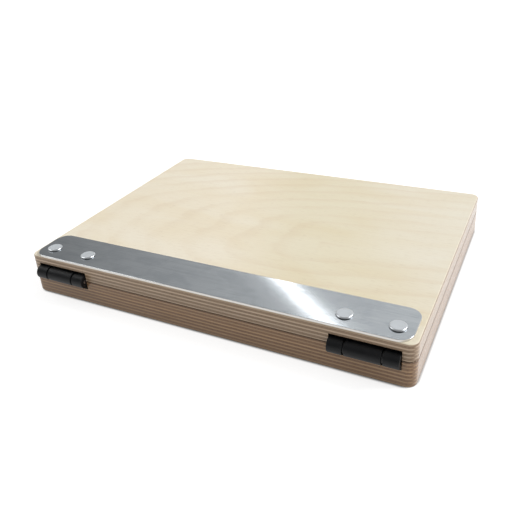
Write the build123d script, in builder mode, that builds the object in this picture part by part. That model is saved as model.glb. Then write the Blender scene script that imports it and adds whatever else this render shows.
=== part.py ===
from build123d import *
import os

# A slim plywood pochade box, shut and lying flat, hinge edge towards -Y and lid on top.
# Origin: middle of the footprint, hinge barrels included, on the surface the box lies on.

# ---- Driving dimensions, in millimetres ----

# Boards
box_width = 284.0  # along the hinge edge
box_depth = 211.0  # from the hinge edge to the opening edge
base_thickness = 17.8  # sanded 18 mm birch plywood
lid_thickness = 11.8  # sanded 12 mm birch plywood
seam_gap = 0.4  # between the shut boards
board_corner_radius = 6.0
outer_edge_round = 1.0
seam_edge_round = 0.4

# Pockets routed into the base
side_rim = 17.0  # left and right of every pocket, in the base and in the lid
far_rim = 14.0  # between the pockets and the opening edge
base_hinge_strip = 38.0  # solid wood between the hinge edge and the brush trough
trough_width = 24.0
rib_width = 6.0  # between the brush trough and the mixing well
pocket_depth = 12.5
pocket_corner_radius = 8.0
pocket_edge_round = 0.8
scoop_radius = 40.0  # thumb scoop in the base at the opening edge
scoop_reach = 6.0
scoop_depth = 3.5

# Recess routed into the lid
lid_hinge_strip = 36.0
recess_depth = 6.0

# Mixing palette
palette_thickness = 3.0
palette_clearance = 0.8
palette_finger_gap = 12.0  # beside the palette, towards the opening edge
palette_edge_round = 0.4

# Hinges
hinge_side_inset = 8.3  # barrel's end from the side of the box
knuckle_radius = 5.0
knuckle_edge_round = 0.4
axis_standoff = 0.25  # hinge axis outside the hinge face
leaf_width = 42.4
leaf_thickness = 3.0
leaf_reach = 22.0  # from the hinge face
leaf_corner_radius = 3.0
middle_knuckle_width = 21.7
knuckle_gap = 1.0
swing_clearance = 0.4  # between a turning knuckle and the other leaf
notch_side_clearance = 0.3
notch_end_clearance = 1.7  # above and below the barrel
notch_back_clearance = 0.75
mortise_clearance = 0.3

# Hinge shafts, washers and friction clips
shaft_radius = 2.0
shaft_end_inset = 0.6
shaft_chamfer = 0.3
shaft_seat_clearance = 0.02
washer_inset = 1.4  # below the knuckles' surface
washer_thickness = 0.8
washer_bore_clearance = 0.05
clip_count = 7
clip_gap = 0.3
clip_end_clearance = 1.0  # between the stack of clips and the knuckle's ends
clip_wall = 1.15
clip_bore_clearance = 0.05
clip_slit = 0.5
clip_toe_width = 1.2
clip_toe_reach = 0.7  # beyond the clip's round
cavity_clearance = 0.2  # around the clips in the middle knuckle
key_clearance = 0.1

# Posts and screws through the boards
post_end_inset = 5.45  # from the leaf's ends
post_inset = 12.0  # from the hinge face
post_head_radius = 5.3
post_head_height = 1.2
post_head_round = 1.0
post_shank_radius = 3.0
post_hole_clearance = 0.15
post_end_clearance = 0.2
post_head_recess = 0.2  # the base's post heads below its underside
post_recess_clearance = 0.25
screw_radius = 2.0
screw_clearance = 0.05  # inside the post
screw_head_radius = 3.8
screw_head_height = 1.9
screw_length = 8.0
screw_hole_clearance = 0.15
screw_drive_across_flats = 2.5
screw_drive_depth = 1.3

# Hinge plate
plate_side_inset = 3.5
plate_width = 32.5
plate_thickness = 1.5
plate_front_inset = 0.3
plate_corner_radius = 9.0
plate_edge_round = 0.25

# Tripod insert
insert_inset = 19.0  # from the hinge face
insert_radius = 6.0
insert_length = 13.0
insert_flange_radius = 8.0
insert_flange_thickness = 1.2
insert_flange_recess = 0.2
insert_bore_radius = 3.2  # a quarter-inch tripod thread, drawn plain
insert_bore_depth = 11.0
insert_clearance = 0.05
insert_flange_clearance = 0.2

# Closing magnets
magnet_radius = 4.0
magnet_thickness = 3.0
magnet_inset = 9.0  # from both edges of the board
magnet_clearance = 0.05
magnet_edge_round = 0.3

# Panel holder in the lid
strip_offset = 70.0  # steel strips from the middle of the box
strip_width = 16.0
strip_thickness = 1.0
strip_end_margin = 1.0
strip_clearance = 0.1
ledge_magnet_wall = 0.7
ledge_recess_clearance = 0.6  # between a ledge and the lid's underside
ledge_lip_reach = 2.5
ledge_lip_thickness = 1.8
ledge_side_clearance = 0.5
ledge_end_clearance = 0.5
ledge_finger_radius = 14.0
ledge_finger_reach = 3.0
ledge_edge_round = 0.4
ledge_magnet_thickness = 2.5
ledge_magnet_clearance = 0.05

# ---- Places worked out from them ----

seam_z = base_thickness + seam_gap / 2
lid_bottom = base_thickness + seam_gap
lid_top = lid_bottom + lid_thickness
plate_top = lid_top + plate_thickness
hinge_face = -(box_depth - axis_standoff - knuckle_radius) / 2
axis_y = hinge_face - axis_standoff
open_face = hinge_face + box_depth
middle_y = hinge_face + box_depth / 2

pocket_width = box_width - 2 * side_rim
trough_start = hinge_face + base_hinge_strip
trough_end = trough_start + trough_width
well_start = trough_end + rib_width
well_end = open_face - far_rim
pocket_floor = base_thickness - pocket_depth
recess_start = hinge_face + lid_hinge_strip
recess_end = open_face - far_rim
recess_ceiling = lid_bottom + recess_depth

hinge_offset = box_width / 2 - hinge_side_inset - leaf_width / 2
leaf_end = hinge_face + leaf_reach
notch_width = leaf_width + 2 * notch_side_clearance
notch_height = 2 * (knuckle_radius + notch_end_clearance)
notch_end = axis_y + knuckle_radius + notch_back_clearance
mortise_end = leaf_end + mortise_clearance
slot_end = axis_y + knuckle_radius + swing_clearance
end_knuckle_width = (leaf_width - middle_knuckle_width) / 2 - knuckle_gap
washer_radius = knuckle_radius - washer_inset
clip_radius = shaft_radius + clip_bore_clearance + clip_wall
clip_pitch = (middle_knuckle_width - 2 * clip_end_clearance + clip_gap) / clip_count
clip_width = clip_pitch - clip_gap
cavity_radius = clip_radius + cavity_clearance

hinge_sides = {"left": -hinge_offset, "right": hinge_offset}
post_pitch = leaf_width - 2 * post_end_inset
post_y = hinge_face + post_inset
post_points = [(x + side * post_pitch / 2, post_y) for x in hinge_sides.values() for side in (-1, 1)]
post_hole_radius = post_shank_radius + post_hole_clearance
magnet_x = box_width / 2 - magnet_inset
magnet_y = open_face - magnet_inset
magnet_points = [(-magnet_x, magnet_y), (magnet_x, magnet_y)]
insert_y = hinge_face + insert_inset

os.makedirs("parts", exist_ok=True)


def span(start, end):
    """Middle and length of a stretch along Y."""
    return (start + end) / 2, end - start


# ---- Base board: one sheet of plywood with a brush trough and a mixing well ----

with BuildPart() as base_board:
    with BuildSketch() as base_outline:
        with Locations((0, middle_y)):
            RectangleRounded(box_width, box_depth, board_corner_radius)
    extrude(amount=base_thickness)
    fillet(base_board.edges().group_by(Axis.Z)[0], radius=outer_edge_round)
    fillet(base_board.edges().group_by(Axis.Z)[-1], radius=seam_edge_round)

    with BuildSketch(Plane.XY.offset(base_thickness)) as base_pockets:
        for start, end in ((trough_start, trough_end), (well_start, well_end)):
            pocket_y, pocket_length = span(start, end)
            with Locations((0, pocket_y)):
                RectangleRounded(pocket_width, pocket_length, pocket_corner_radius)
    extrude(amount=-pocket_depth, mode=Mode.SUBTRACT)
    base_rim = base_board.faces().sort_by(Axis.Z)[-1]
    fillet(base_rim.inner_wires().edges(), radius=pocket_edge_round)

    # Thumb scoop, open to the opening edge
    with BuildSketch(Plane.XY.offset(base_thickness)) as scoop:
        with Locations((0, open_face - scoop_reach + scoop_radius)):
            Circle(scoop_radius)
    extrude(amount=-scoop_depth, mode=Mode.SUBTRACT)

    # Hinge notches and leaf mortises
    with BuildSketch(Plane.XY.offset(base_thickness)) as base_notches:
        notch_y, notch_depth = span(axis_y, notch_end)
        with Locations(*[(x, notch_y) for x in hinge_sides.values()]):
            Rectangle(notch_width, notch_depth)
    extrude(amount=-(base_thickness - seam_z + notch_height / 2), mode=Mode.SUBTRACT)
    with BuildSketch(Plane.XY.offset(base_thickness)) as base_mortises:
        mortise_y, mortise_length = span(axis_y, mortise_end)
        with Locations(*[(x, mortise_y) for x in hinge_sides.values()]):
            Rectangle(notch_width, mortise_length)
        fillet(base_mortises.vertices().group_by(Axis.Y)[-1], radius=leaf_corner_radius)
    extrude(amount=-leaf_thickness, mode=Mode.SUBTRACT)

    # Stepped holes for the posts and the tripod insert, from the underside
    with Locations(Plane.XY.rotated((180, 0, 0))):
        with Locations(*[(x, -y) for x, y in post_points]):
            CounterBoreHole(
                post_hole_radius,
                post_head_radius + post_recess_clearance,
                post_head_height + post_head_recess,
                depth=base_thickness,
            )
        with Locations((0, -insert_y)):
            CounterBoreHole(
                insert_radius + insert_clearance,
                insert_flange_radius + insert_flange_clearance,
                insert_flange_thickness + insert_flange_recess,
                depth=insert_length + insert_flange_recess,
            )

    # Magnet pockets
    with Locations(*[(x, y, base_thickness) for x, y in magnet_points]):
        Hole(magnet_radius + magnet_clearance, depth=magnet_thickness - seam_gap / 2)

base_board.part.label = "base_board"
export_step(base_board.part, "parts/base_board.step")

# ---- Lid board: thinner plywood with a recess that holds a wet panel ----

with BuildPart() as lid_board:
    with BuildSketch(Plane.XY.offset(lid_bottom)) as lid_outline:
        with Locations((0, middle_y)):
            RectangleRounded(box_width, box_depth, board_corner_radius)
    extrude(amount=lid_thickness)
    fillet(lid_board.edges().group_by(Axis.Z)[-1], radius=outer_edge_round)
    fillet(lid_board.edges().group_by(Axis.Z)[0], radius=seam_edge_round)

    recess_y, recess_length = span(recess_start, recess_end)
    with BuildSketch(Plane.XY.offset(lid_bottom)) as lid_recess:
        with Locations((0, recess_y)):
            RectangleRounded(pocket_width, recess_length, pocket_corner_radius)
    extrude(amount=recess_depth, mode=Mode.SUBTRACT)
    lid_rim = lid_board.faces().sort_by(Axis.Z)[0]
    fillet(lid_rim.inner_wires().edges(), radius=pocket_edge_round)

    # Grooves for the steel strips
    with BuildSketch(Plane.XY.offset(recess_ceiling)) as strip_grooves:
        groove_length = recess_length - 2 * strip_end_margin + 2 * strip_clearance
        with Locations((-strip_offset, recess_y), (strip_offset, recess_y)):
            Rectangle(strip_width + 2 * strip_clearance, groove_length)
    extrude(amount=strip_thickness, mode=Mode.SUBTRACT)

    # Hinge notches and leaf mortises
    with BuildSketch(Plane.XY.offset(lid_bottom)) as lid_notches:
        with Locations(*[(x, notch_y) for x in hinge_sides.values()]):
            Rectangle(notch_width, notch_depth)
    extrude(amount=seam_z + notch_height / 2 - lid_bottom, mode=Mode.SUBTRACT)
    with BuildSketch(Plane.XY.offset(lid_bottom)) as lid_mortises:
        with Locations(*[(x, mortise_y) for x in hinge_sides.values()]):
            Rectangle(notch_width, mortise_length)
        fillet(lid_mortises.vertices().group_by(Axis.Y)[-1], radius=leaf_corner_radius)
    extrude(amount=leaf_thickness, mode=Mode.SUBTRACT)

    # Post holes, right through, and magnet pockets in the underside
    with Locations(*[(x, y, lid_top) for x, y in post_points]):
        Hole(post_hole_radius, depth=lid_thickness)
    with Locations(Plane.XY.offset(lid_bottom).rotated((180, 0, 0))):
        with Locations(*[(x, -y) for x, y in magnet_points]):
            Hole(magnet_radius + magnet_clearance, depth=magnet_thickness - seam_gap / 2)

lid_board.part.label = "lid_board"
export_step(lid_board.part, "parts/lid_board.step")

# ---- Hinge plate: aluminium strip over the lid's hinge edge ----

plate_y = hinge_face + plate_front_inset + plate_width / 2
with BuildPart() as hinge_plate:
    with BuildSketch(Plane.XY.offset(lid_top)) as plate_outline:
        with Locations((0, plate_y)):
            RectangleRounded(box_width - 2 * plate_side_inset, plate_width, plate_corner_radius)
        with Locations(*post_points):
            Circle(post_hole_radius, mode=Mode.SUBTRACT)
    extrude(amount=plate_thickness)
    plate_face = hinge_plate.faces().sort_by(Axis.Z)[-1]
    fillet(plate_face.outer_wire().edges(), radius=plate_edge_round)

hinge_plate.part.label = "hinge_plate"
export_step(hinge_plate.part, "parts/hinge_plate.step")

# ---- Hinges: end knuckles on the base leaf, the wide middle knuckle on the lid leaf ----

for side, hinge_x in hinge_sides.items():
    screw_points = [(hinge_x + end * post_pitch / 2, post_y) for end in (-1, 1)]
    blank_y, blank_length = span(axis_y, leaf_end)
    slot_y, slot_length = span(axis_y, slot_end)
    slot_width = middle_knuckle_width + 2 * knuckle_gap
    left_end = hinge_x - leaf_width / 2

    with BuildPart() as base_leaf:
        for knuckle_start in (left_end, left_end + leaf_width - end_knuckle_width):
            with BuildSketch(Plane.YZ.offset(knuckle_start)) as end_knuckle:
                with Locations((axis_y, seam_z)):
                    Circle(knuckle_radius)
            extrude(amount=end_knuckle_width)
        fillet(base_leaf.edges().filter_by(GeomType.CIRCLE), radius=knuckle_edge_round)
        with BuildSketch(Plane.XY.offset(base_thickness)) as base_leaf_outline:
            with Locations((hinge_x, blank_y)):
                Rectangle(leaf_width, blank_length)
            fillet(base_leaf_outline.vertices().group_by(Axis.Y)[-1], radius=leaf_corner_radius)
            with Locations((hinge_x, slot_y)):
                Rectangle(slot_width, slot_length, mode=Mode.SUBTRACT)
        extrude(amount=-leaf_thickness)
        with BuildSketch(Plane.YZ.offset(left_end)) as shaft_seat:
            with Locations((axis_y, seam_z)):
                Circle(shaft_radius + shaft_seat_clearance)
        extrude(amount=leaf_width, mode=Mode.SUBTRACT)
        with Locations(*[(x, y, base_thickness) for x, y in screw_points]):
            CounterSinkHole(
                screw_radius + screw_hole_clearance,
                screw_head_radius + screw_hole_clearance,
                depth=leaf_thickness,
                counter_sink_angle=90,
            )

    base_leaf.part.label = f"base_hinge_leaf_{side}"
    export_step(base_leaf.part, f"parts/base_hinge_leaf_{side}.step")

    with BuildPart() as lid_leaf:
        with BuildSketch(Plane.YZ.offset(hinge_x - middle_knuckle_width / 2)) as middle_knuckle:
            with Locations((axis_y, seam_z)):
                Circle(knuckle_radius)
        extrude(amount=middle_knuckle_width)
        fillet(lid_leaf.edges().filter_by(GeomType.CIRCLE), radius=knuckle_edge_round)
        with BuildSketch(Plane.XY.offset(lid_bottom)) as lid_leaf_outline:
            with Locations((hinge_x, blank_y)):
                Rectangle(leaf_width, blank_length)
            fillet(lid_leaf_outline.vertices().group_by(Axis.Y)[-1], radius=leaf_corner_radius)
            end_slot_width = end_knuckle_width + knuckle_gap
            end_slot_offset = (leaf_width - end_slot_width) / 2
            with Locations((hinge_x - end_slot_offset, slot_y), (hinge_x + end_slot_offset, slot_y)):
                Rectangle(end_slot_width, slot_length, mode=Mode.SUBTRACT)
        extrude(amount=leaf_thickness)
        with BuildSketch(Plane.YZ.offset(hinge_x - middle_knuckle_width / 2)) as clip_cavity:
            with Locations((axis_y, seam_z)):
                Circle(cavity_radius)
                Rectangle(
                    clip_radius + clip_toe_reach + key_clearance,
                    clip_toe_width + 2 * key_clearance,
                    align=(Align.MIN, Align.CENTER),
                )
        extrude(amount=middle_knuckle_width, mode=Mode.SUBTRACT)
        with Locations(Plane.XY.offset(lid_bottom).rotated((180, 0, 0))):
            with Locations(*[(x, -y) for x, y in screw_points]):
                CounterSinkHole(
                    screw_radius + screw_hole_clearance,
                    screw_head_radius + screw_hole_clearance,
                    depth=leaf_thickness,
                    counter_sink_angle=90,
                )

    lid_leaf.part.label = f"lid_hinge_leaf_{side}"
    export_step(lid_leaf.part, f"parts/lid_hinge_leaf_{side}.step")

    # Steel shaft, held in the end knuckles
    with BuildPart() as shaft:
        with BuildSketch(Plane.YZ.offset(left_end + shaft_end_inset)) as shaft_section:
            with Locations((axis_y, seam_z)):
                Circle(shaft_radius)
        extrude(amount=leaf_width - 2 * shaft_end_inset)
        chamfer(shaft.edges(), length=shaft_chamfer)

    shaft.part.label = f"hinge_shaft_{side}"
    export_step(shaft.part, f"parts/hinge_shaft_{side}.step")

    # Thin washers between the knuckles
    with BuildPart() as washers:
        washer_offset = (middle_knuckle_width + knuckle_gap) / 2
        for washer_x in (hinge_x - washer_offset, hinge_x + washer_offset):
            with BuildSketch(Plane.YZ.offset(washer_x - washer_thickness / 2)) as washer_section:
                with Locations((axis_y, seam_z)):
                    Circle(washer_radius)
                    Circle(shaft_radius + washer_bore_clearance, mode=Mode.SUBTRACT)
            extrude(amount=washer_thickness)

    washers.part.label = f"hinge_washers_{side}"
    export_step(washers.part, f"parts/hinge_washers_{side}.step")

    # Spring-steel clips that grip the shaft, each keyed to the middle knuckle by its toe
    with BuildPart() as clips:
        first_clip = hinge_x - middle_knuckle_width / 2 + clip_end_clearance
        for index in range(clip_count):
            with BuildSketch(Plane.YZ.offset(first_clip + index * clip_pitch)) as clip_section:
                with Locations((axis_y, seam_z)):
                    Circle(clip_radius)
                    Rectangle(
                        clip_radius + clip_toe_reach, clip_toe_width, align=(Align.MIN, Align.CENTER)
                    )
                    Circle(shaft_radius + clip_bore_clearance, mode=Mode.SUBTRACT)
                with Locations((axis_y, seam_z)):
                    Rectangle(
                        clip_radius,
                        clip_slit,
                        align=(Align.MAX, Align.CENTER),
                        mode=Mode.SUBTRACT,
                    )
            extrude(amount=clip_width)

    clips.part.label = f"friction_clips_{side}"
    export_step(clips.part, f"parts/friction_clips_{side}.step")


# ---- Posts and screws that clamp the leaves to the boards ----


def binding_post(shank_length):
    """A flat-headed post with a threaded bore. Its head stands on z = 0 and its shank hangs below."""
    with BuildPart() as post:
        Cylinder(
            post_head_radius,
            post_head_height,
            align=(Align.CENTER, Align.CENTER, Align.MIN),
        )
        fillet(post.edges().group_by(Axis.Z)[-1], radius=post_head_round)
        Cylinder(
            post_shank_radius,
            shank_length,
            align=(Align.CENTER, Align.CENTER, Align.MAX),
        )
        with Locations(Location((0, 0, -shank_length), (180, 0, 0))):
            Hole(screw_radius + screw_clearance, depth=shank_length)
    return post.part


with BuildPart() as leaf_screw:
    # Head flush with z = 0, shank below
    with BuildSketch(Plane.XZ) as screw_profile:
        with BuildLine() as screw_line:
            Polyline(
                (0, 0),
                (screw_head_radius, 0),
                (screw_radius, -screw_head_height),
                (screw_radius, -screw_length),
                (0, -screw_length),
                close=True,
            )
        make_face()
    revolve(axis=Axis.Z)
    with BuildSketch() as screw_drive:
        RegularPolygon(screw_drive_across_flats / 2, 6, major_radius=False)
    extrude(amount=-screw_drive_depth, mode=Mode.SUBTRACT)

base_leaf_bottom = base_thickness - leaf_thickness
lid_leaf_top = lid_bottom + leaf_thickness
base_post_seat = post_head_recess + post_head_height
base_post = binding_post(base_leaf_bottom - post_end_clearance - base_post_seat)
lid_post = binding_post(plate_top - lid_leaf_top - post_end_clearance)

with BuildPart() as base_posts:
    with Locations(*[Location((x, y, base_post_seat), (180, 0, 0)) for x, y in post_points]):
        add(base_post)

base_posts.part.label = "base_posts"
export_step(base_posts.part, "parts/base_posts.step")

with BuildPart() as lid_posts:
    with Locations(*[(x, y, plate_top) for x, y in post_points]):
        add(lid_post)

lid_posts.part.label = "lid_posts"
export_step(lid_posts.part, "parts/lid_posts.step")

with BuildPart() as base_leaf_screws:
    with Locations(*[(x, y, base_thickness) for x, y in post_points]):
        add(leaf_screw.part)

base_leaf_screws.part.label = "base_leaf_screws"
export_step(base_leaf_screws.part, "parts/base_leaf_screws.step")

with BuildPart() as lid_leaf_screws:
    with Locations(*[Location((x, y, lid_bottom), (180, 0, 0)) for x, y in post_points]):
        add(leaf_screw.part)

lid_leaf_screws.part.label = "lid_leaf_screws"
export_step(lid_leaf_screws.part, "parts/lid_leaf_screws.step")

# ---- Tripod insert: flanged brass bush screwed into the underside ----

with BuildPart() as tripod_insert:
    with BuildSketch(Plane.XY.offset(insert_flange_recess)) as insert_flange:
        with Locations((0, insert_y)):
            Circle(insert_flange_radius)
    extrude(amount=insert_flange_thickness)
    with BuildSketch(Plane.XY.offset(insert_flange_recess)) as insert_body:
        with Locations((0, insert_y)):
            Circle(insert_radius)
    extrude(amount=insert_length)
    with BuildSketch(Plane.XY.offset(insert_flange_recess)) as insert_bore:
        with Locations((0, insert_y)):
            Circle(insert_bore_radius)
    extrude(amount=insert_bore_depth, mode=Mode.SUBTRACT)

tripod_insert.part.label = "tripod_insert"
export_step(tripod_insert.part, "parts/tripod_insert.step")

# ---- Magnets that hold the lid shut; each pair meets at the middle of the seam ----

with BuildPart() as base_magnets:
    with BuildSketch(Plane.XY.offset(seam_z)) as base_magnet_faces:
        with Locations(*magnet_points):
            Circle(magnet_radius)
    extrude(amount=-magnet_thickness)
    fillet(base_magnets.edges().group_by(Axis.Z)[-1], radius=magnet_edge_round)

base_magnets.part.label = "base_magnets"
export_step(base_magnets.part, "parts/base_magnets.step")

with BuildPart() as lid_magnets:
    with BuildSketch(Plane.XY.offset(seam_z)) as lid_magnet_faces:
        with Locations(*magnet_points):
            Circle(magnet_radius)
    extrude(amount=magnet_thickness)
    fillet(lid_magnets.edges().group_by(Axis.Z)[0], radius=magnet_edge_round)

lid_magnets.part.label = "lid_magnets"
export_step(lid_magnets.part, "parts/lid_magnets.step")

# ---- Mixing palette: a loose panel on the floor of the well ----

palette_y, palette_length = span(well_start + palette_clearance, well_end - palette_finger_gap)
with BuildPart() as mixing_palette:
    with BuildSketch(Plane.XY.offset(pocket_floor)) as palette_outline:
        with Locations((0, palette_y)):
            RectangleRounded(
                pocket_width - 2 * palette_clearance,
                palette_length,
                pocket_corner_radius - palette_clearance,
            )
    extrude(amount=palette_thickness)
    fillet(mixing_palette.edges().group_by(Axis.Z)[-1], radius=palette_edge_round)

mixing_palette.part.label = "mixing_palette"
export_step(mixing_palette.part, "parts/mixing_palette.step")

# ---- Panel holder: two steel strips let into the recess, and two ledges that cling to them ----

for side, strip_x in (("left", -strip_offset), ("right", strip_offset)):
    with BuildPart() as steel_strip:
        with BuildSketch(Plane.XY.offset(recess_ceiling)) as strip_outline:
            with Locations((strip_x, recess_y)):
                Rectangle(strip_width, recess_length - 2 * strip_end_margin)
        extrude(amount=strip_thickness)

    steel_strip.part.label = f"steel_strip_{side}"
    export_step(steel_strip.part, f"parts/steel_strip_{side}.step")

ledge_length = pocket_width - 2 * ledge_side_clearance
ledge_body_width = 2 * (magnet_radius + ledge_magnet_clearance + ledge_magnet_wall)
ledge_width = ledge_body_width + ledge_lip_reach
ledge_thickness = recess_depth - ledge_recess_clearance
ledge_parking = {
    "lower": (recess_start + ledge_end_clearance, 1),
    "upper": (recess_end - ledge_end_clearance, -1),
}

for name, (outer_edge, inward) in ledge_parking.items():
    inner_edge = outer_edge + inward * ledge_width
    body_edge = outer_edge + inward * ledge_body_width
    magnet_line = (outer_edge + body_edge) / 2
    ledge_magnet_points = [(-strip_offset, magnet_line), (strip_offset, magnet_line)]

    with BuildPart() as ledge:
        with BuildSketch(Plane.XY.offset(recess_ceiling)) as ledge_outline:
            with Locations((0, (outer_edge + inner_edge) / 2)):
                Rectangle(ledge_length, ledge_width)
            outer_corners = ledge_outline.vertices().sort_by(Axis.Y, reverse=inward < 0)[:2]
            fillet(outer_corners, radius=pocket_corner_radius)
            with Locations((0, inner_edge + inward * (ledge_finger_radius - ledge_finger_reach))):
                Circle(ledge_finger_radius, mode=Mode.SUBTRACT)
        extrude(amount=-ledge_thickness)
        with BuildSketch(Plane.XY.offset(recess_ceiling)) as rebate:
            with Locations((0, (body_edge + inner_edge) / 2)):
                Rectangle(ledge_length, ledge_lip_reach)
        extrude(amount=-(ledge_thickness - ledge_lip_thickness), mode=Mode.SUBTRACT)
        with Locations(*[(x, y, recess_ceiling) for x, y in ledge_magnet_points]):
            Hole(magnet_radius + ledge_magnet_clearance, depth=ledge_magnet_thickness)
        fillet(ledge.edges().group_by(Axis.Z)[0], radius=ledge_edge_round)

    ledge.part.label = f"{name}_ledge"
    export_step(ledge.part, f"parts/{name}_ledge.step")

    with BuildPart() as ledge_magnets:
        with BuildSketch(Plane.XY.offset(recess_ceiling)) as ledge_magnet_faces:
            with Locations(*ledge_magnet_points):
                Circle(magnet_radius)
        extrude(amount=-ledge_magnet_thickness)

    ledge_magnets.part.label = f"{name}_ledge_magnets"
    export_step(ledge_magnets.part, f"parts/{name}_ledge_magnets.step")
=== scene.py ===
import math

import bmesh
import bpy
from mathutils import Matrix, Vector


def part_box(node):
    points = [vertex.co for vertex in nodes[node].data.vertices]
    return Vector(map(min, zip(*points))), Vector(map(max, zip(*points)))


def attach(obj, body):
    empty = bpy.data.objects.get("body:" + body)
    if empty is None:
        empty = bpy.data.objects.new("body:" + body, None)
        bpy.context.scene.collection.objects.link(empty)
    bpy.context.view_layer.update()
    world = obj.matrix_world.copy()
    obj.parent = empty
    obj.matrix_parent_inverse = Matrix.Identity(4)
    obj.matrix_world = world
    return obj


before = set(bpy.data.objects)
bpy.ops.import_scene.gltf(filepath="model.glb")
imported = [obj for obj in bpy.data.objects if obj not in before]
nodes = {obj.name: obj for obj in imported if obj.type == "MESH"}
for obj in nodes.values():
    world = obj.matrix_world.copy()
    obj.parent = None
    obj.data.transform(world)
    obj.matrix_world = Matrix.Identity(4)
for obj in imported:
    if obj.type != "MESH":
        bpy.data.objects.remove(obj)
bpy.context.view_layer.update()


# Base board: 18 mm birch plywood, thirteen veneers glued crosswise. It is sawn out, and routed from above for
# the mixing well, the brush trough and the hinges. Its edges are broken, and it gets two coats of clear satin
# varnish.
def add_node(tree, kind, inputs=None, **settings):
    """A node with its settings, and on each named input a value or a link."""
    node = tree.nodes.new(kind)
    for name, value in settings.items():
        setattr(node, name, value)
    for name, value in (inputs or {}).items():
        if isinstance(value, bpy.types.NodeSocket):
            tree.links.new(value, node.inputs[name])
        else:
            node.inputs[name].default_value = value
    return node


def calc(tree, operation, *values):
    """The result of one Math node."""
    return add_node(tree, "ShaderNodeMath", dict(enumerate(values)), operation=operation).outputs[0]


def distance(tree, value, middle):
    """How far value is from middle, either way."""
    return calc(tree, "ABSOLUTE", calc(tree, "SUBTRACT", value, middle))


def within(tree, value, limit):
    """value kept between minus the limit and the limit."""
    return calc(tree, "MAXIMUM", calc(tree, "MINIMUM", value, limit), calc(tree, "MULTIPLY", limit, -1.0))


def vector_calc(tree, operation, vector, other=None):
    """The result of one Vector Math node: a number for LENGTH and DOT_PRODUCT, and else a vector."""
    inputs = {0: vector}
    if other is not None:
        inputs["Scale" if operation == "SCALE" else 1] = other
    outputs = add_node(tree, "ShaderNodeVectorMath", inputs, operation=operation).outputs
    return outputs["Value" if operation in ("LENGTH", "DOT_PRODUCT") else "Vector"]


def split(tree, vector):
    """The x, y and z of a vector."""
    return add_node(tree, "ShaderNodeSeparateXYZ", {0: vector}).outputs


def fade(tree, value, start, end, low=0.0, high=1.0):
    """value taken from start..end to low..high along a smooth step."""
    inputs = {"Value": value, "From Min": start, "From Max": end, "To Min": low, "To Max": high}
    return add_node(tree, "ShaderNodeMapRange", inputs, interpolation_type="SMOOTHSTEP").outputs[0]


def tint(tree, amount, under, over, blend_type="MIX"):
    """The colour over, laid on the colour under by that amount."""
    inputs = {0: amount, 6: under, 7: over}
    return add_node(tree, "ShaderNodeMix", inputs, data_type="RGBA", blend_type=blend_type).outputs[2]


def marks(tree, place, per_metre, detail=1.0, twist=0.0):
    """Noise with that many marks in a metre along x, y and z."""
    stretched = vector_calc(tree, "MULTIPLY", place, per_metre)
    inputs = {"Vector": stretched, "Scale": 1.0, "Detail": detail, "Distortion": twist}
    return add_node(tree, "ShaderNodeTexNoise", inputs).outputs[0]


def new_group(name, inputs, outputs):
    """An empty shader node group, and the sockets that its inputs give inside it."""
    group = bpy.data.node_groups.new(name, "ShaderNodeTree")
    for socket, value in inputs.items():
        if isinstance(value, float):
            kind = "NodeSocketFloat"
        else:
            kind = "NodeSocketColor" if len(value) == 4 else "NodeSocketVector"
        group.interface.new_socket(socket, in_out="INPUT", socket_type=kind).default_value = value
    for socket in outputs:
        kind = "NodeSocketColor" if socket == "Colour" else "NodeSocketFloat"
        group.interface.new_socket(socket, in_out="OUTPUT", socket_type=kind)
    return group, group.nodes.new("NodeGroupInput").outputs


def put_out(group, **results):
    """Links each result to the group's output of that name."""
    add_node(group, "NodeGroupOutput", results)


plywood, given = new_group(
    "birch plywood",
    {
        "Middle height": 0.0089, "Ply thickness": 0.00127, "Plies each side": 6.0, "Arches": 0.0,
        "Edge tone": (1.0, 1.0, 1.0, 1.0),
    },
    ("Colour", "Roughness", "Height", "Coat"),
)
coordinates = add_node(plywood, "ShaderNodeTexCoord").outputs
x, y, z = split(plywood, coordinates["Object"])
facing = split(plywood, coordinates["Normal"])
towards_x, towards_y, towards_z = (calc(plywood, "ABSOLUTE", side) for side in facing)

# which ply a point is in, counted from the middle one, and how near it is to a glue line
ply_waver = 0.22
waver = calc(plywood, "SUBTRACT", marks(plywood, coordinates["Object"], (22, 22, 22)), 0.5)
level = calc(plywood, "DIVIDE", calc(plywood, "SUBTRACT", z, given["Middle height"]), given["Ply thickness"])
level = calc(plywood, "MULTIPLY_ADD", waver, ply_waver, level)
outermost = given["Plies each side"]
ply = within(plywood, calc(plywood, "ROUND", level), outermost)
last_line = calc(plywood, "SUBTRACT", outermost, 0.5)
line = calc(plywood, "ADD", calc(plywood, "ROUND", calc(plywood, "SUBTRACT", level, 0.5)), 0.5)
line = within(plywood, line, last_line)
glue = fade(plywood, distance(plywood, level, line), 0.03, 0.16, low=1.0, high=0.0)

# every second ply has its grain across the box, so that it shows its ends on the front edge, and each ply
# comes from another stretch of the log
log_along, log_across = 0.43, 0.17
crossed = calc(plywood, "MODULO", calc(plywood, "ABSOLUTE", ply), 2.0)
along = calc(plywood, "MULTIPLY_ADD", crossed, calc(plywood, "SUBTRACT", y, x), x)
across = calc(plywood, "MULTIPLY_ADD", crossed, calc(plywood, "SUBTRACT", x, y), y)
along = calc(plywood, "MULTIPLY_ADD", ply, log_along, along)
across = calc(plywood, "MULTIPLY_ADD", ply, log_across, across)
grain = add_node(plywood, "ShaderNodeCombineXYZ", {0: along, 1: across, 2: z}).outputs[0]
end_on = calc(plywood, "SUBTRACT", towards_x, towards_y)
ends = calc(plywood, "MULTIPLY", end_on, calc(plywood, "MULTIPLY_ADD", crossed, -2.0, 1.0))
ends = fade(plywood, ends, -0.40, 0.25)
on_edge = fade(plywood, towards_z, 0.55, 0.88, low=1.0, high=0.0)

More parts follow.
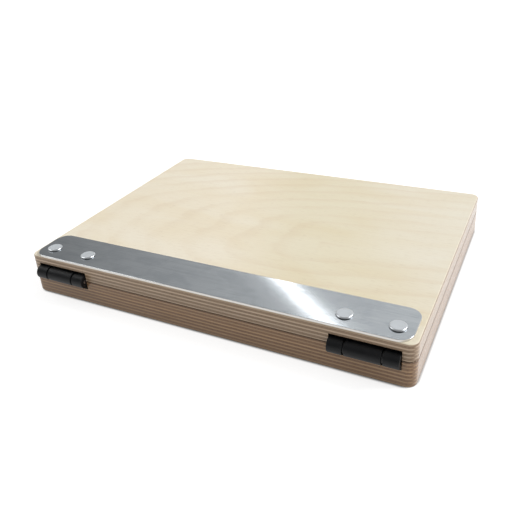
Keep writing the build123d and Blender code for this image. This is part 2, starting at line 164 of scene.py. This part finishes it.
# the growth lines of a peeled veneer: long bands, and on the lid's own face a nest of arches, with their tips
# to the left and their legs to the right
arch_tip, arch_row, arch_lean, arch_bluntness = 0.0520, 0.012, -0.12, 1.2
lines_along, lines_across = 34.0, 72.0
bands = calc(plywood, "MULTIPLY", marks(plywood, grain, (2.6, 11, 40)), 6.0)
reach = calc(plywood, "MAXIMUM", calc(plywood, "SUBTRACT", arch_tip, x), 0.0)
reach = calc(plywood, "MULTIPLY", reach, lines_along)
aside = calc(plywood, "MULTIPLY_ADD", x, arch_lean, calc(plywood, "ADD", y, arch_row))
aside = calc(plywood, "MULTIPLY", calc(plywood, "ABSOLUTE", aside), lines_across)
aside = calc(plywood, "MAXIMUM", calc(plywood, "SUBTRACT", aside, arch_bluntness), 0.0)
arches = calc(plywood, "MULTIPLY_ADD", aside, aside, calc(plywood, "MULTIPLY", reach, reach))
arches = calc(plywood, "MULTIPLY_ADD", bands, 0.32, calc(plywood, "SQRT", arches))
ragged = marks(plywood, grain, (14, 60, 60), detail=3.0, twist=1.0)
arches = calc(plywood, "MULTIPLY_ADD", ragged, 0.6, calc(plywood, "SUBTRACT", arches, 1.26))
on_top = calc(plywood, "MULTIPLY", given["Arches"], calc(plywood, "GREATER_THAN", ply, last_line))
rings = calc(plywood, "MULTIPLY_ADD", on_top, calc(plywood, "SUBTRACT", arches, bands), bands)
rings = calc(plywood, "FRACT", rings)
darker_out = fade(plywood, rings, 0.42, 0.84)
growth = calc(plywood, "MULTIPLY", darker_out, fade(plywood, rings, 0.86, 1.0, low=1.0, high=0.0))
fainter = fade(plywood, marks(plywood, grain, (9, 20, 20), detail=2.0), 0.36, 0.58, low=0.40)
growth = calc(plywood, "MULTIPLY", growth, fainter)

# the faces, and the lid's own veneer, which is warmer in its right half and paled again at the end by a
# painted sheen
pale_face, deep_face = (0.865, 0.794, 0.648, 1), (0.835, 0.740, 0.562, 1)
warm_half, painted_sheen_end, band_slant = (0.915, 0.912, 0.845, 1), (0.955, 0.973, 0.992, 1), 0.37
growth_line, fibre_tone, pore_tone = (0.66, 0.500, 0.320, 1), (0.60, 0.44, 0.26, 1), (0.40, 0.27, 0.15, 1)
fibres = marks(plywood, grain, (38, 1000, 1000), detail=2.0)
pores = fade(plywood, marks(plywood, grain, (170, 2300, 2300), detail=0.0), 0.66, 0.76)
figure = marks(plywood, grain, (11, 26, 26), detail=2.0, twist=0.6)
face = tint(plywood, fade(plywood, figure, 0.30, 0.72), pale_face, deep_face)
aslant = calc(plywood, "MULTIPLY_ADD", y, band_slant, x)
warm = calc(plywood, "MULTIPLY", fade(plywood, aslant, -0.035, 0.040), on_top)
# a painted sheen pales the right end of the lid's veneer
warmth_and_sheen = tint(plywood, fade(plywood, aslant, 0.065, 0.130), warm_half, painted_sheen_end)
face = tint(plywood, warm, face, warmth_and_sheen, "MULTIPLY")
face = tint(plywood, calc(plywood, "MULTIPLY", growth, 0.18), face, growth_line)
face = tint(plywood, fade(plywood, fibres, 0.45, 0.80, high=0.10), face, fibre_tone)
face = tint(plywood, calc(plywood, "MULTIPLY", pores, 0.16), face, pore_tone)

# the edges, with darker end grain, a shade of its own for each ply, and brown glue lines
pale_ends, deep_ends = (0.370, 0.258, 0.166, 1), (0.300, 0.200, 0.124, 1)
pale_side, deep_side = (0.680, 0.530, 0.380, 1), (0.560, 0.425, 0.292, 1)
glue_brown = (0.13, 0.078, 0.045, 1)
end_grain = tint(plywood, fade(plywood, fibres, 0.35, 0.70), pale_ends, deep_ends)
side_grain = tint(plywood, fade(plywood, fibres, 0.35, 0.75), pale_side, deep_side)
edge = tint(plywood, ends, side_grain, end_grain)
own_shade = add_node(plywood, "ShaderNodeTexWhiteNoise", {"W": ply}, noise_dimensions="1D").outputs["Value"]
own_shade = fade(plywood, own_shade, 0.0, 1.0, low=0.90, high=1.07)
edge = vector_calc(plywood, "SCALE", edge, own_shade)
edge = tint(plywood, calc(plywood, "MULTIPLY", glue, 0.56), edge, glue_brown)
edge = tint(plywood, 1.0, edge, given["Edge tone"], "MULTIPLY")
wood = tint(plywood, on_edge, face, edge)

# painted shade darkens the foot down to a painted contact line, dust and painted shade darken the joint, and
# painted black shade fills the hinge notches
half_width, half_depth, middle_y = 0.1420, 0.1055, 0.002625
rim_width, joint_height = 0.0020, 0.0177
hinge_x, notch_half_length, notch_half_height = 0.1125, 0.0240, 0.0075
notch_front, notch_back = -0.1025, -0.0925
foot_shade_colour, joint_dust_and_shade = (0.20, 0.125, 0.075, 1), (0.155, 0.078, 0.036, 1)
notch_painted_shade = (0.020, 0.014, 0.010, 1)
# painted shade, darker towards the foot, and a painted contact shadow line at the very foot
painted_foot_shade = fade(plywood, z, 0.0004, 0.0052, low=0.36, high=0.0)
painted_contact_line = fade(plywood, z, 0.0006, 0.0016, low=0.66, high=0.0)
rim_x = calc(plywood, "GREATER_THAN", calc(plywood, "ABSOLUTE", x), half_width - rim_width)
rim_y = calc(plywood, "GREATER_THAN", distance(plywood, y, middle_y), half_depth - rim_width)
rim = calc(plywood, "MAXIMUM", rim_x, rim_y)
shaded_at_foot = calc(plywood, "MULTIPLY", rim, calc(plywood, "MAXIMUM", painted_foot_shade, painted_contact_line))
wood = tint(plywood, shaded_at_foot, wood, foot_shade_colour)
# dust and painted shade darken the joint between the boards
from_joint = distance(plywood, z, joint_height)
in_joint = fade(plywood, from_joint, 0.0006, 0.0013, low=0.83, high=0.0)
wood = tint(plywood, calc(plywood, "MULTIPLY", rim, in_joint), wood, joint_dust_and_shade)
# painted black shade inside the hinge notches
from_hinge = distance(plywood, calc(plywood, "ABSOLUTE", x), hinge_x)
in_notch = calc(plywood, "LESS_THAN", from_hinge, notch_half_length)
in_notch = calc(plywood, "MULTIPLY", in_notch, calc(plywood, "LESS_THAN", y, notch_back))
in_notch = calc(plywood, "MULTIPLY", in_notch, calc(plywood, "GREATER_THAN", y, notch_front))
in_notch = calc(plywood, "MULTIPLY", in_notch, calc(plywood, "LESS_THAN", from_joint, notch_half_height))
wood = tint(plywood, calc(plywood, "MULTIPLY", in_notch, 0.88), wood, notch_painted_shade)

# the varnish is duller on the faces and on end grain, and stands fuller on the two ends of the box, and pores
# and glue lines lie a little lower than the fibres
face_dullness, edge_dullness = 0.36, 0.20
rough = calc(plywood, "MULTIPLY_ADD", on_edge, edge_dullness - face_dullness, face_dullness)
rough = calc(plywood, "MULTIPLY_ADD", calc(plywood, "MULTIPLY", ends, on_edge), 0.10, rough)
rough = calc(plywood, "MULTIPLY_ADD", fibres, 0.10, rough)
lie = calc(plywood, "MULTIPLY_ADD", pores, -0.6, fibres)
lie = calc(plywood, "MULTIPLY_ADD", calc(plywood, "MULTIPLY", glue, on_edge), -0.9, lie)
lie = calc(plywood, "MULTIPLY", lie, calc(plywood, "MULTIPLY_ADD", on_edge, -0.6, 1.0))
fuller = calc(plywood, "MULTIPLY", on_edge, 0.38)
fuller = calc(plywood, "MULTIPLY", fuller, fade(plywood, towards_x, 0.55, 0.95))
put_out(plywood, Colour=wood, Roughness=rough, Height=lie, Coat=fuller)


def new_finish(name, **plain):
    """A material, its nodes and its shader, with plain values set on the shader's own sockets."""
    material = bpy.data.materials.new(name)
    material.use_nodes = True
    shader = material.node_tree.nodes["Principled BSDF"]
    for socket, value in plain.items():
        shader.inputs[socket.replace("_", " ")].default_value = value
    return material, material.node_tree, shader


def place_group(tree, group, **inputs):
    """What the group puts out in a material, with its own values."""
    inputs = {socket.replace("_", " "): value for socket, value in inputs.items()}
    return add_node(tree, "ShaderNodeGroup", inputs, node_tree=group).outputs


def lay_on(tree, shader, group, relief, **inputs):
    """Places the group and links its colour, roughness and height, with that much relief in metres."""
    made = place_group(tree, group, **inputs)
    tree.links.new(made["Colour"], shader.inputs["Base Color"])
    tree.links.new(made["Roughness"], shader.inputs["Roughness"])
    bump = add_node(tree, "ShaderNodeBump", {"Height": made["Height"], "Distance": relief, "Strength": 1.0})
    tree.links.new(bump.outputs[0], shader.inputs["Normal"])
    return made


def varnished_plywood(name, middle_height, ply_thickness, plies_each_side, arches, edge_tone):
    """Clear varnished birch plywood with its plies at their own heights."""
    material, tree, shader = new_finish(name, IOR=1.48, Coat_IOR=1.48, Coat_Roughness=0.12)
    made = lay_on(
        tree, shader, plywood, relief=0.00004, Middle_height=middle_height, Ply_thickness=ply_thickness,
        Plies_each_side=plies_each_side, Arches=arches, Edge_tone=edge_tone,
    )
    tree.links.new(made["Coat"], shader.inputs["Coat Weight"])
    return material


def dress(material, *names):
    """Gives the material to the CAD pieces of those names."""
    for name in names:
        nodes[name].material_slots[0].material = material


dress(varnished_plywood(
    "base plywood", middle_height=0.0089, ply_thickness=0.00127, plies_each_side=6.0, arches=0.0,
    edge_tone=(0.760, 0.608, 0.462, 1),
), "base_board")


# Mixing palette: a 3 mm sheet of grey acrylic, cut to lie loose on the floor of the well, with broken edges.
# It is scraped clean after use, so its gloss is crossed by fine knife marks.
handling, given = new_group(
    "handling marks",
    {"Colour": (0.5, 0.5, 0.5, 1.0), "Roughness": 0.3, "Amount": 0.5, "Scratches per metre": 90.0},
    ("Colour", "Roughness", "Height"),
)
smudge_tone, scratch_tone = (0.55, 0.53, 0.50, 1), (0.85, 0.85, 0.84, 1)
scratch_directions = (0.45, 1.35, 2.30)
place = add_node(handling, "ShaderNodeTexCoord").outputs["Object"]
smudges = marks(handling, place, (26, 26, 26), detail=3.0, twist=0.8)
scratches = 0.0
for turn in scratch_directions:
    inputs = {"Vector": place, "Angle": turn}
    turned = add_node(handling, "ShaderNodeVectorRotate", inputs, rotation_type="Z_AXIS").outputs[0]
    often = vector_calc(handling, "SCALE", turned, given["Scratches per metre"])
    line = fade(handling, marks(handling, often, (0.35, 9.0, 9.0), detail=0.0), 0.70, 0.78)
    scratches = calc(handling, "MAXIMUM", line, scratches)
scratches = calc(handling, "MULTIPLY", scratches, given["Amount"])
dulled = calc(handling, "MULTIPLY", fade(handling, smudges, 0.35, 0.75), given["Amount"])
colour = tint(handling, calc(handling, "MULTIPLY", dulled, 0.25), given["Colour"], smudge_tone, "MULTIPLY")
colour = tint(handling, calc(handling, "MULTIPLY", scratches, 0.16), colour, scratch_tone)
rough = calc(handling, "MULTIPLY_ADD", dulled, 0.12, given["Roughness"])
rough = calc(handling, "MULTIPLY_ADD", scratches, 0.15, rough)
put_out(handling, Colour=colour, Roughness=rough, Height=calc(handling, "MULTIPLY", scratches, -1.0))

grey_acrylic, tree, shader = new_finish("grey acrylic", IOR=1.49)
lay_on(
    tree, shader, handling, relief=0.00003,
    Colour=(0.335, 0.340, 0.335, 1), Roughness=0.22, Amount=0.5, Scratches_per_metre=130.0,
)
dress(grey_acrylic, "mixing_palette")


# Closing magnets: four neodymium discs, nickel plated, pressed and glued into blind holes near the opening
# edge. The plating is bright, with the small rub marks of the discs that meet it.
nickel, tree, shader = new_finish("nickel plate", Metallic=1.0)
lay_on(
    tree, shader, handling, relief=0.00001,
    Colour=(0.66, 0.635, 0.595, 1), Roughness=0.18, Amount=0.7, Scratches_per_metre=260.0,
)
dress(nickel, "base_magnets", "lid_magnets")


# Tripod insert: a turned brass bush with a flange, screwed and glued into the underside behind the hinges.
# Its bore is cut with the photographic quarter-inch thread, which the thread ring here stands for.
turned_metal, given = new_group(
    "turned metal",
    {"Colour": (0.8, 0.8, 0.8, 1.0), "Roughness": 0.3, "Radius": 0.0, "Cuts per metre": 4000.0},
    ("Colour", "Roughness", "Height"),
)
cut_tone, tarnish_tone = (0.55, 0.55, 0.55, 1), (0.60, 0.58, 0.56, 1)
place = add_node(turned_metal, "ShaderNodeTexCoord").outputs["Object"]
outward = calc(turned_metal, "MULTIPLY", given["Radius"], given["Cuts per metre"])
outward = add_node(turned_metal, "ShaderNodeCombineXYZ", {0: outward}).outputs[0]
inputs = {"Vector": outward, "Scale": 1.0, "Detail": 1.5}
cuts = add_node(turned_metal, "ShaderNodeTexNoise", inputs).outputs[0]
clouds = marks(turned_metal, place, (140, 140, 140), detail=3.0, twist=0.5)
cut_deep = fade(turned_metal, cuts, 0.35, 0.75, high=0.28)
tarnished = fade(turned_metal, clouds, 0.40, 0.75, high=0.16)
colour = tint(turned_metal, cut_deep, given["Colour"], cut_tone, "MULTIPLY")
colour = tint(turned_metal, tarnished, colour, tarnish_tone, "MULTIPLY")
rough = calc(turned_metal, "MULTIPLY_ADD", cuts, 0.14, given["Roughness"])
rough = calc(turned_metal, "MULTIPLY_ADD", clouds, 0.10, rough)
put_out(turned_metal, Colour=colour, Roughness=rough, Height=cuts)

insert_low, insert_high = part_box("tripod_insert")
insert_x, insert_y = (insert_low.x + insert_high.x) / 2, (insert_low.y + insert_high.y) / 2
brass, tree, shader = new_finish("turned brass", Metallic=1.0)
place = add_node(tree, "ShaderNodeTexCoord").outputs["Object"]
from_axis = vector_calc(tree, "SUBTRACT", place, (insert_x, insert_y, 0))
radius = vector_calc(tree, "LENGTH", vector_calc(tree, "MULTIPLY", from_axis, (1, 1, 0)))
lay_on(
    tree, shader, turned_metal, relief=0.00001,
    Colour=(0.78, 0.56, 0.26, 1), Roughness=0.20, Radius=radius, Cuts_per_metre=5000.0,
)
dress(brass, "tripod_insert")

thread_pitch, thread_start = 0.00127, 0.0007
thread_root, thread_crest = 0.00322, 0.00262
thread_turns, steps_a_turn = 8, 40
bm = bmesh.new()
profile = [
    bm.verts.new((insert_x + out, insert_y, insert_low.z + thread_start + pitches * thread_pitch))
    for out, pitches in ((thread_root, 0.0), (thread_crest, 0.38), (thread_crest, 0.50), (thread_root, 0.88))
]
section = bm.faces.new(profile)
bmesh.ops.spin(
    bm, geom=[section] + section.edges[:] + profile, cent=(insert_x, insert_y, 0), axis=(0, 0, 1),
    dvec=(0, 0, thread_pitch / steps_a_turn), angle=math.tau * thread_turns,
    steps=thread_turns * steps_a_turn,
)
bmesh.ops.recalc_face_normals(bm, faces=bm.faces)


def make_piece(name, bm, material):
    """The object of that name, from the finished bmesh, with its material."""
    mesh = bpy.data.meshes.new(name)
    bm.to_mesh(mesh)
    bm.free()
    mesh.materials.append(material)
    piece = bpy.data.objects.new(name, mesh)
    bpy.context.scene.collection.objects.link(piece)
    return piece


insert_thread = make_piece("insert_thread", bm, brass)
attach(insert_thread, "base")


# Hinges: four leaves with their knuckles, machined from steel, blackened and oiled, let in flush with the two
# meeting faces. Handling rubs the black thin along the outer corners.
worn_edges, given = new_group("worn edges", {"Width": 0.0003}, ("Wear",))
place = add_node(worn_edges, "ShaderNodeTexCoord").outputs["Object"]
rounded = add_node(worn_edges, "ShaderNodeBevel", {"Radius": given["Width"]}, samples=4).outputs[0]
straight = add_node(worn_edges, "ShaderNodeNewGeometry").outputs["Normal"]
alike = vector_calc(worn_edges, "DOT_PRODUCT", rounded, straight)
rubbed = fade(worn_edges, calc(worn_edges, "SUBTRACT", 1.0, alike), 0.02, 0.16)
patchy = fade(worn_edges, marks(worn_edges, place, (380, 380, 380), detail=2.0), 0.42, 0.68)
put_out(worn_edges, Wear=calc(worn_edges, "MULTIPLY", rubbed, patchy))

deep_black, thin_black = (0.0036, 0.0040, 0.0050, 1), (0.0076, 0.0078, 0.0088, 1)
bare_steel = (0.16, 0.155, 0.15, 1)
blackened, tree, shader = new_finish("blackened steel", Specular_IOR_Level=0.24)
place = add_node(tree, "ShaderNodeTexCoord").outputs["Object"]
cloud = marks(tree, place, (150, 150, 150), detail=3.0, twist=0.4)
pits = marks(tree, place, (1900, 1900, 1900))
wear = place_group(tree, worn_edges, Width=0.00028)["Wear"]
colour = tint(tree, fade(tree, cloud, 0.35, 0.75), deep_black, thin_black)
colour = tint(tree, calc(tree, "MULTIPLY", wear, 0.55), colour, bare_steel)
rough = calc(tree, "MULTIPLY_ADD", cloud, 0.16, fade(tree, pits, 0.35, 0.70, low=0.36, high=0.46))
bump = add_node(tree, "ShaderNodeBump", {"Height": pits, "Distance": 0.000012})
for socket, result in (("Base Color", colour), ("Roughness", rough), ("Normal", bump.outputs[0])):
    tree.links.new(result, shader.inputs[socket])
for board in ("base", "lid"):
    dress(blackened, board + "_hinge_leaf_left", board + "_hinge_leaf_right")


# Hinge shafts, washers and clips: ground steel pins, black nylon washers between the knuckles, and seven
# spring clips in each middle knuckle that grip the pin, so that the lid stays where it is put.
def hinge_finish(name, colour, polish, cuts_per_metre, relief, **plain):
    """A finish with the marks of cuts that run round the hinge axis."""
    hinge_axis = (0, -0.103125, 0.018)
    material, tree, shader = new_finish(name, **plain)
    place = add_node(tree, "ShaderNodeTexCoord").outputs["Object"]
    from_axis = vector_calc(tree, "SUBTRACT", place, hinge_axis)
    radius = vector_calc(tree, "LENGTH", vector_calc(tree, "MULTIPLY", from_axis, (0, 1, 1)))
    lay_on(
        tree, shader, turned_metal, relief,
        Colour=colour, Roughness=polish, Radius=radius, Cuts_per_metre=cuts_per_metre,
    )
    return material


ground_steel = hinge_finish(
    "ground steel", (0.56, 0.56, 0.57, 1), polish=0.18, cuts_per_metre=7000.0, relief=0.000004, Metallic=1.0,
)
nylon = hinge_finish(
    "black nylon", (0.012, 0.012, 0.013, 1), polish=0.42, cuts_per_metre=3000.0, relief=0.00001, IOR=1.53,
)
blued_spring = hinge_finish(
    "blued spring steel", (0.17, 0.19, 0.25, 1), polish=0.24, cuts_per_metre=5000.0, relief=0.000005,
    Metallic=1.0,
)
dress(ground_steel, "hinge_shaft_left", "hinge_shaft_right")
dress(nylon, "hinge_washers_left", "hinge_washers_right")
dress(blued_spring, "friction_clips_left", "friction_clips_right")


# Leaf screws: eight countersunk machine screws with a hexagon socket, turned from steel and blacked in a salt
# bath. Each draws its leaf tight against the board and the post behind it.
black_oxide, tree, shader = new_finish("black oxide", Metallic=0.8)
lay_on(
    tree, shader, handling, relief=0.000008,
    Colour=(0.045, 0.045, 0.050, 1), Roughness=0.30, Amount=0.6, Scratches_per_metre=300.0,
)
dress(black_oxide, "base_leaf_screws", "lid_leaf_screws")


# Lid board: 12 mm birch plywood, nine plies, the same outline as the base. Its face veneer shows the nested
# arches of a peeled log, and its inner face is routed for the painting panel.
dress(varnished_plywood(
    "lid plywood", middle_height=0.0241, ply_thickness=0.00133, plies_each_side=4.0, arches=1.0,
    edge_tone=(0.985, 0.945, 0.910, 1),
), "lid_board")


# Steel strips: two lengths of bright mild steel strip, rolled lengthwise and glued into the ceiling of the
# recess, for the ledge magnets to hold to.
drawn_metal, given = new_group(
    "drawn metal",
    {"Colour": (0.6, 0.6, 0.6, 1.0), "Roughness": 0.3, "Lines": (10.0, 2500.0, 2500.0), "Contrast": 0.3},
    ("Colour", "Roughness", "Height"),
)
line_tone, dull_tone = (0.62, 0.63, 0.64, 1), (0.72, 0.74, 0.76, 1)
place = add_node(drawn_metal, "ShaderNodeTexCoord").outputs["Object"]
stretched = vector_calc(drawn_metal, "MULTIPLY", place, given["Lines"])
inputs = {"Vector": stretched, "Scale": 1.0, "Detail": 3.0, "Roughness": 0.6}
lines = add_node(drawn_metal, "ShaderNodeTexNoise", inputs).outputs[0]
clouds = marks(drawn_metal, place, (60, 90, 60), detail=4.0, twist=0.8)
scored = calc(drawn_metal, "MULTIPLY", fade(drawn_metal, lines, 0.35, 0.70), given["Contrast"])
dulled = calc(drawn_metal, "MULTIPLY", fade(drawn_metal, clouds, 0.36, 0.70), 0.40)
colour = tint(drawn_metal, scored, given["Colour"], line_tone, "MULTIPLY")
colour = tint(drawn_metal, dulled, colour, dull_tone, "MULTIPLY")
rough = calc(drawn_metal, "MULTIPLY_ADD", lines, 0.05, given["Roughness"])
rough = calc(drawn_metal, "MULTIPLY_ADD", clouds, 0.07, rough)
put_out(drawn_metal, Colour=colour, Roughness=rough, Height=lines)

mild_steel, tree, shader = new_finish("mild steel", Metallic=1.0)
lay_on(
    tree, shader, drawn_metal, relief=0.000008,
    Colour=(0.50, 0.49, 0.475, 1), Roughness=0.26, Lines=(1800.0, 9.0, 1800.0), Contrast=0.35,
)
dress(mild_steel, "steel_strip_left", "steel_strip_right")


# Hinge plate: 1.5 mm aluminium, laser cut with large corners and left bare, brushed lengthwise and then
# dulled by handling. It spreads the load of the four lid posts.
satin_plate, tree, shader = new_finish("satin aluminium plate", Metallic=1.0)
made = lay_on(
    tree, shader, drawn_metal, relief=0.000004,
    Colour=(0.675, 0.718, 0.750, 1), Roughness=0.045, Lines=(14.0, 1500.0, 1500.0), Contrast=0.26,
)
# the cut edges are greyer, partly from their duller cut finish and partly as painted shade
cut_edge_shade_tone = (0.64, 0.62, 0.59, 1)
upward = split(tree, add_node(tree, "ShaderNodeTexCoord").outputs["Normal"])[2]
cut_edge = fade(tree, upward, 0.35, 0.80, low=1.0, high=0.0)
tree.links.new(tint(tree, cut_edge, made["Colour"], cut_edge_shade_tone), shader.inputs["Base Color"])
tree.links.new(calc(tree, "MULTIPLY_ADD", cut_edge, 0.30, made["Roughness"]), shader.inputs["Roughness"])
dress(satin_plate, "hinge_plate")


# Posts: eight turned aluminium studs with flat round heads, four through the plate and the lid and four in
# the base, each tapped for its leaf screw. The heads show the rings of the facing cut and a polished rim, and
# on the lid a painted shade darkens the foot of each rim.
post_row, post_spread = -0.090875, 0.01575
lid_top, rim_shade_full, rim_shade_end = 0.0300, 0.0318, 0.0323
rim_shade = (0.05, 0.05, 0.055, 1)
turned_aluminium, tree, shader = new_finish("turned aluminium", Metallic=1.0)
place = add_node(tree, "ShaderNodeTexCoord").outputs["Object"]
across, back, up = split(tree, place)
for step in (hinge_x, post_spread):
    across = calc(tree, "SUBTRACT", calc(tree, "ABSOLUTE", across), step)
back = calc(tree, "SUBTRACT", back, post_row)
radius = calc(tree, "SQRT", calc(tree, "MULTIPLY_ADD", across, across, calc(tree, "MULTIPLY", back, back)))
polish = fade(tree, radius, 0.0041, 0.0046, low=0.60, high=0.16)
made = lay_on(
    tree, shader, turned_metal, relief=0.000012,
    Colour=(0.69, 0.72, 0.745, 1), Roughness=polish, Radius=radius, Cuts_per_metre=3600.0,
)
on_head = calc(tree, "GREATER_THAN", up, lid_top)
# painted shade at the foot of each lid head's rim
under_rim = calc(tree, "MULTIPLY", on_head, fade(tree, up, rim_shade_full, rim_shade_end, low=0.86, high=0.0))
tree.links.new(tint(tree, under_rim, made["Colour"], rim_shade), shader.inputs["Base Color"])
dress(turned_aluminium, "lid_posts", "base_posts")


# Panel ledges: two aluminium bars with a lip and a finger notch, satin anodised, with a pair of magnets set
# in the back of each. They slide on the steel strips and clamp the panel between them.
anodised, tree, shader = new_finish("satin anodised ledge", Metallic=1.0)
lay_on(
    tree, shader, drawn_metal, relief=0.000006,
    Colour=(0.60, 0.605, 0.61, 1), Roughness=0.30, Lines=(12.0, 1900.0, 1900.0), Contrast=0.20,
)
dress(anodised, "lower_ledge", "upper_ledge")
dress(nickel, "lower_ledge_magnets", "upper_ledge_magnets")


# Floor: a plain white paper sweep under the box. Its colour, and not more light, makes it white to the camera
# and in the metal, and it keeps the box's shadow. Its glow is cut in a narrow line round the foot, a painted
# contact shadow.
floor_size, foot_corner = 12.0, 0.0090
white_floor, tree, shader = new_finish("white floor")
tree.nodes.remove(shader)
rays = add_node(tree, "ShaderNodeLightPath").outputs
seen = calc(tree, "ADD", rays["Is Camera Ray"], rays["Is Glossy Ray"])
seen = calc(tree, "MINIMUM", calc(tree, "ADD", seen, rays["Is Transmission Ray"]), 1.0)
paper = add_node(tree, "ShaderNodeBsdfDiffuse", {"Color": (0.50, 0.50, 0.50, 1)}).outputs[0]
place = add_node(tree, "ShaderNodeTexCoord").outputs["Object"]
whiter_out = fade(tree, vector_calc(tree, "LENGTH", place), 0.5, 3.0, low=0.74, high=0.83)
x, y, z = split(tree, place)
beside = calc(tree, "SUBTRACT", calc(tree, "ABSOLUTE", x), half_width - foot_corner)
beside = calc(tree, "MAXIMUM", beside, 0.0)
before = calc(tree, "SUBTRACT", distance(tree, y, middle_y), half_depth - foot_corner)
before = calc(tree, "MAXIMUM", before, 0.0)
from_foot = calc(tree, "MULTIPLY_ADD", beside, beside, calc(tree, "MULTIPLY", before, before))
from_foot = calc(tree, "SUBTRACT", calc(tree, "SQRT", from_foot), foot_corner)
# the glow is cut near the foot as a painted contact shadow
shine = calc(tree, "MULTIPLY", whiter_out, fade(tree, from_foot, -0.0004, 0.0016, low=0.10))
inputs = {"Color": (1, 1, 1, 1), "Strength": calc(tree, "MULTIPLY", seen, shine)}
glow = add_node(tree, "ShaderNodeEmission", inputs).outputs[0]
both = add_node(tree, "ShaderNodeAddShader", {0: paper, 1: glow}).outputs[0]
tree.links.new(both, tree.nodes["Material Output"].inputs["Surface"])
bm = bmesh.new()
bmesh.ops.create_grid(bm, x_segments=1, y_segments=1, size=floor_size)
floor = make_piece("floor", bm, white_floor)


# Room: white to the camera, an even light on the box, and in the metal a dim studio that is bright behind and
# to the right, with paler walls at both ends, a paler ceiling, and the white sweep low down at the back.
lamp_level, dim, wall, ceiling = 0.42, 0.17, 0.48, 0.40
bright_side = (0.50, 0.80, 0.33)
world = bpy.data.worlds.new("studio")
bpy.context.scene.world = world
world.use_nodes = True
tree = world.node_tree
tree.nodes.clear()
direction = add_node(tree, "ShaderNodeTexCoord").outputs["Generated"]
right_side, far_side, height = split(tree, direction)
room = fade(tree, vector_calc(tree, "DOT_PRODUCT", direction, bright_side), -0.20, 1.10, low=0.02, high=0.81)
room = calc(tree, "MAXIMUM", room, fade(tree, right_side, 0.30, 0.85, low=dim, high=wall))
room = calc(tree, "MAXIMUM", room, fade(tree, right_side, -0.95, -0.70, low=wall, high=dim))
room = calc(tree, "MAXIMUM", room, fade(tree, height, 0.36, 0.76, low=dim, high=ceiling))
low_down = fade(tree, height, 0.14, 0.32, low=1.0, high=0.0)
sweep = calc(tree, "MULTIPLY", low_down, fade(tree, far_side, -0.35, 0.45, low=0.10))
room = calc(tree, "MULTIPLY_ADD", sweep, calc(tree, "SUBTRACT", 1.0, room), room)
rays = add_node(tree, "ShaderNodeLightPath").outputs
mirrored = calc(tree, "ADD", rays["Is Glossy Ray"], rays["Is Transmission Ray"])
strength = calc(tree, "MULTIPLY_ADD", mirrored, calc(tree, "SUBTRACT", room, lamp_level), lamp_level)
strength = calc(tree, "MAXIMUM", strength, rays["Is Camera Ray"])
background = add_node(tree, "ShaderNodeBackground", {"Color": (1, 1, 1, 1), "Strength": strength}).outputs[0]
add_node(tree, "ShaderNodeOutputWorld", {"Surface": background})


# Lamps: a large soft box above, behind and to the right, a narrow strip behind whose image lies aslant across
# the plate, and two weak soft boxes, one for the left and the front edge and one for the right end.
def soft_box(name, middle, aim, width, length, brightness, lengthwise):
    """An area lamp turned towards aim, with its long side as near lengthwise as it can be."""
    lamp = bpy.data.lights.new(name, "AREA")
    lamp.shape, lamp.size, lamp.size_y = "RECTANGLE", length, width
    lamp.energy = brightness * math.pi * width * length
    back = (Vector(middle) - Vector(aim)).normalized()
    side = (Vector(lengthwise) - Vector(lengthwise).dot(back) * back).normalized()
    turn = Matrix((side, back.cross(side), back)).transposed().to_4x4()
    holder = bpy.data.objects.new(name, lamp)
    holder.matrix_world = Matrix.Translation(middle) @ turn
    bpy.context.scene.collection.objects.link(holder)


soft_box(
    "key", middle=(4.40, 2.64, 4.04), aim=(0, 0, 0),
    width=2.0, length=2.7, brightness=17.4, lengthwise=(1, -1, 0),
)
soft_box(
    "strip", middle=(-0.2317, 0.5949, 0.5361), aim=(0.070, -0.087, 0.0315),
    width=0.021, length=0.55, brightness=2.9, lengthwise=(0.8583, -0.3147, 0.4053),
)
soft_box(
    "fill", middle=(-1.70, -0.20, 1.60), aim=(-0.05, 0, 0),
    width=1.0, length=1.4, brightness=2.6, lengthwise=(0, 1, 0),
)
soft_box(
    "side", middle=(1.95, -0.20, 0.75), aim=(0.10, -0.05, 0),
    width=0.8, length=1.0, brightness=1.9, lengthwise=(0, 1, 0),
)


# Camera: low to the front right of the box and a little turned about its own axis, as the photograph was
# taken. The lens is shifted, because the photograph is cropped.
camera_place = (0.192486, -0.366485, 0.238328)
camera_right = (0.89093637, 0.44990019, -0.06182393)
camera_up = (-0.14659111, 0.41376384, 0.89850461)
camera_back = (0.42981790, -0.79144760, 0.43458862)
camera = bpy.data.objects.new("camera", bpy.data.cameras.new("camera"))
camera.data.sensor_width = 36.0
camera.data.lens = 42.2113
camera.data.shift_y = -0.0801
turn = Matrix((camera_right, camera_up, camera_back)).transposed().to_4x4()
camera.matrix_world = Matrix.Translation(camera_place) @ turn
scene = bpy.context.scene
scene.collection.objects.link(camera)
scene.camera = camera
scene.view_settings.view_transform = "Standard"
